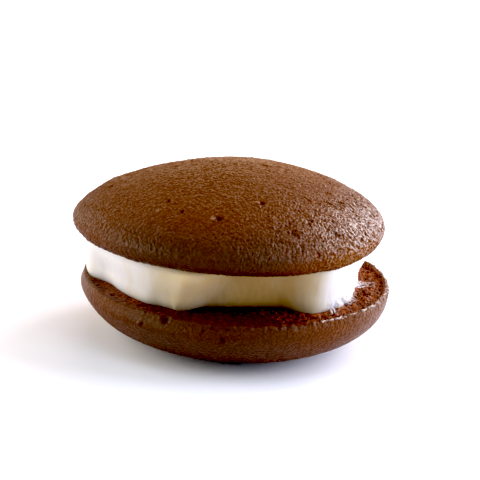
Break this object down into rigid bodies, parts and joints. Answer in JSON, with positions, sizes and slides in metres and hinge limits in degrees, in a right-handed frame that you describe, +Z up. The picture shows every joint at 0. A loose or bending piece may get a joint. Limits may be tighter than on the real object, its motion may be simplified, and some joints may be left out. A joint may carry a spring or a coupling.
{
  "type": "whoopie pie",
  "caption": "Whoopie pie: a thick layer of soft white cream pressed between domed chocolate cakes, the lower one turned over so that its torn flat face holds the cream.",
  "frame": {"origin": "on the table, under the middle of the pie's box", "axes": "+Z up through the cakes, -Y towards the viewer of the picture, +X to the viewer's right"},
  "size_m": [0.0808, 0.0803, 0.0446],
  "materials": {
    "cake": "baked chocolate skin, finely pebbled, with a soft satin sheen",
    "cream": "smooth soft cream, satin"
  },
  "bodies": {
    "root": {"bottom_cake": "cake", "cream_filling": "cream", "top_cake": "cake"}
  },
  "joints": []
}
